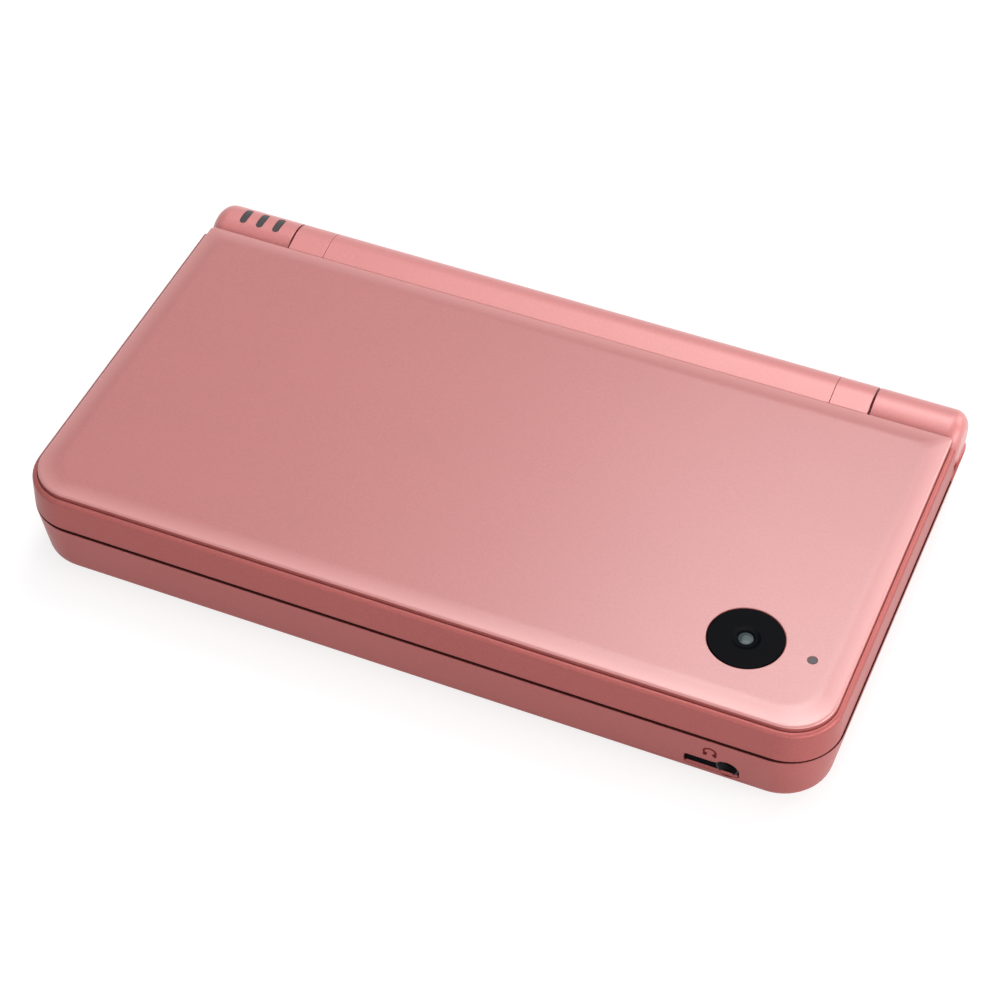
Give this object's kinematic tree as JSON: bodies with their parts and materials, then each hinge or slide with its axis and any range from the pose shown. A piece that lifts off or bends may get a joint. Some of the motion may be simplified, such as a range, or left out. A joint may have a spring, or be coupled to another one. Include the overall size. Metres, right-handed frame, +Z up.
{
  "type": "handheld game console",
  "caption": "Clamshell handheld game console, closed: metallic rose case with a friction hinge, screens, buttons, direction pad, stylus, card slots and headphone socket.",
  "frame": {"origin": "on the table plane, under the middle of the closed case", "axes": "+X to the right of the person holding it, -Y the front edge with the headphone socket, +Y the hinge, +Z up out of the closed lid"},
  "size_m": [0.161, 0.0914, 0.0212],
  "materials": {
    "rose_case": "satin metallic rose paint with a fine flake",
    "rose_panel": "glossy metallic rose paint under a clear coat",
    "pearl_case": "pearl white moulded plastic",
    "pearl_button": "polished white moulded plastic",
    "screen_black": "black gloss window",
    "steel": "bright steel",
    "rubber": "dark grey rubber",
    "circuit_board": "green circuit board",
    "dark_plastic": "black moulded plastic",
    "lcd_frame": "pressed aluminium frame",
    "light_lens": "smoked clear plastic",
    "flex_film": "amber flexible film"
  },
  "bodies": {
    "base": {"base_shell": "rose_case", "base_deck": "pearl_case", "battery_cover": "rose_case", "battery_cover_screws": "steel", "battery_pack": "dark_plastic", "housing_screws": "steel", "rubber_feet": "rubber", "main_board": "circuit_board", "processor_shield": "steel", "wireless_module": "circuit_board", "lower_lcd": "lcd_frame", "touch_panel": "screen_black", "face_button_membrane": "rubber", "d_pad_membrane": "rubber", "menu_button_membranes": "rubber", "game_card_socket": "steel", "sd_card_socket": "steel", "headphone_jack": "dark_plastic", "charger_socket": "dark_plastic", "volume_switch": "circuit_board", "shoulder_pins": "steel", "shoulder_springs": "steel", "shoulder_switches": "dark_plastic", "stylus_sleeve": "dark_plastic", "hinge_clutch": "steel", "hinge_bush": "steel", "led_light_pipes": "light_lens", "led_board": "circuit_board"},
    "lid": {"lid_frame": "rose_case", "lid_panel": "rose_panel", "lid_inner_cover": "pearl_case", "upper_screen_window": "screen_black", "upper_lcd": "lcd_frame", "speakers": "dark_plastic", "speaker_grilles": "dark_plastic", "outer_camera_window": "screen_black", "camera_modules": "dark_plastic", "camera_light_pipe": "light_lens", "hinge_barrel_cover": "rose_case", "inner_camera_window": "screen_black", "microphone": "steel", "lid_screws": "steel", "lid_bumpers": "rubber", "hinge_shaft": "steel", "lid_flex_cable": "flex_film"},
    "sd_card_door": {"sd_card_door": "rose_case"},
    "volume_rocker": {"volume_rocker": "rose_case"},
    "shoulder_button_left": {"shoulder_button_left": "rose_case"},
    "shoulder_button_right": {"shoulder_button_right": "rose_case"},
    "stylus": {"stylus": "pearl_button"},
    "power_button": {"power_button": "pearl_button"},
    "start_button": {"start_button": "pearl_button"},
    "select_button": {"select_button": "pearl_button"},
    "face_button_top": {"face_button_top": "pearl_button"},
    "face_button_right": {"face_button_right": "pearl_button"},
    "face_button_bottom": {"face_button_bottom": "pearl_button"},
    "face_button_left": {"face_button_left": "pearl_button"},
    "d_pad_rocker": {"d_pad_rocker": "dark_plastic"},
    "d_pad": {"d_pad": "pearl_button"}
  },
  "joints": [
    {"name": "lid_hinge", "type": "hinge", "parent": "base", "child": "lid", "pos_m": [0, 0.0397, 0.0152], "axis": [-1, 0, 0], "range_deg": [0, 155]},
    {"name": "face_button_top_press", "type": "slide", "parent": "base", "child": "face_button_top", "axis": [0, 0, -1], "range_m": [0, 0.0008], "stiffness_N_per_m": 300, "springref_m": -0.0005},
    {"name": "face_button_right_press", "type": "slide", "parent": "base", "child": "face_button_right", "axis": [0, 0, -1], "range_m": [0, 0.0008], "stiffness_N_per_m": 300, "springref_m": -0.0005},
    {"name": "face_button_bottom_press", "type": "slide", "parent": "base", "child": "face_button_bottom", "axis": [0, 0, -1], "range_m": [0, 0.0008], "stiffness_N_per_m": 300, "springref_m": -0.0005},
    {"name": "face_button_left_press", "type": "slide", "parent": "base", "child": "face_button_left", "axis": [0, 0, -1], "range_m": [0, 0.0008], "stiffness_N_per_m": 300, "springref_m": -0.0005},
    {"name": "start_button_press", "type": "slide", "parent": "base", "child": "start_button", "axis": [0, 0, -1], "range_m": [0, 0.0004], "stiffness_N_per_m": 300, "springref_m": -0.0005},
    {"name": "select_button_press", "type": "slide", "parent": "base", "child": "select_button", "axis": [0, 0, -1], "range_m": [0, 0.0004], "stiffness_N_per_m": 300, "springref_m": -0.0005},
    {"name": "power_button_press", "type": "slide", "parent": "base", "child": "power_button", "axis": [0, 0, -1], "range_m": [0, 0.0004], "stiffness_N_per_m": 300, "springref_m": -0.0005},
    {"name": "d_pad_pitch", "type": "hinge", "parent": "base", "child": "d_pad_rocker", "pos_m": [-0.0615, 0.006, 0.00995], "axis": [1, 0, 0], "range_deg": [-3.5, 3.5], "stiffness_Nm_per_rad": 0.05},
    {"name": "d_pad_roll", "type": "hinge", "parent": "d_pad_rocker", "child": "d_pad", "pos_m": [-0.0615, 0.006, 0.00995], "axis": [0, 1, 0], "range_deg": [-3.5, 3.5], "stiffness_Nm_per_rad": 0.05},
    {"name": "volume_rock", "type": "hinge", "parent": "base", "child": "volume_rocker", "pos_m": [-0.0766, 0.01, 0.0062], "axis": [0, 0, 1], "range_deg": [-3, 3], "stiffness_Nm_per_rad": 0.05},
    {"name": "shoulder_left_press", "type": "hinge", "parent": "base", "child": "shoulder_button_left", "pos_m": [-0.0646, 0.0426, 0.006], "axis": [0, 0, 1], "range_deg": [0, 3.5], "stiffness_Nm_per_rad": 0.15, "springref_deg": -2.86},
    {"name": "shoulder_right_press", "type": "hinge", "parent": "base", "child": "shoulder_button_right", "pos_m": [0.0646, 0.0426, 0.006], "axis": [0, 0, -1], "range_deg": [0, 3.5], "stiffness_Nm_per_rad": 0.15, "springref_deg": -2.86},
    {"name": "sd_door_swing", "type": "hinge", "parent": "base", "child": "sd_card_door", "pos_m": [0.0784, -0.0135, 0.0039], "axis": [0, 1, 0], "range_deg": [0, 95]},
    {"name": "stylus_slide", "type": "slide", "parent": "base", "child": "stylus", "axis": [1, 0, 0], "range_m": [0, 0.092]}
  ]
}
